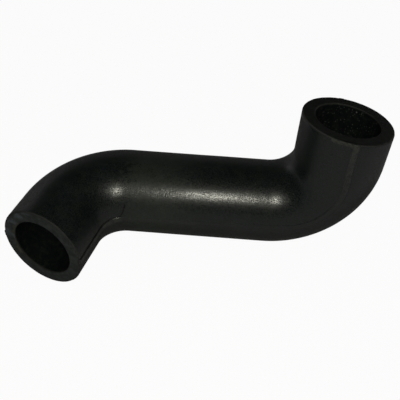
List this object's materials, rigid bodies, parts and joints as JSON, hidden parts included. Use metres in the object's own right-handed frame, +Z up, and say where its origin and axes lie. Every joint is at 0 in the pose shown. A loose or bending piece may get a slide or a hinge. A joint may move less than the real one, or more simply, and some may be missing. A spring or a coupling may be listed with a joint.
{
  "type": "water pump bypass hose",
  "caption": "Thick-walled moulded rubber hose with a straight middle run and a short bent leg at each end, set about a right angle apart.",
  "frame": {"origin": "on the surface that the hose lies on, under the middle of its outline", "axes": "+X along the middle run, from the lying left leg to the standing right leg; +Z up; the left leg points to -Y"},
  "size_m": [0.147, 0.0622, 0.0631],
  "materials": {
    "rubber": "matt to satin moulded black rubber"
  },
  "bodies": {
    "root": {"bypass_hose": "rubber"}
  },
  "joints": []
}
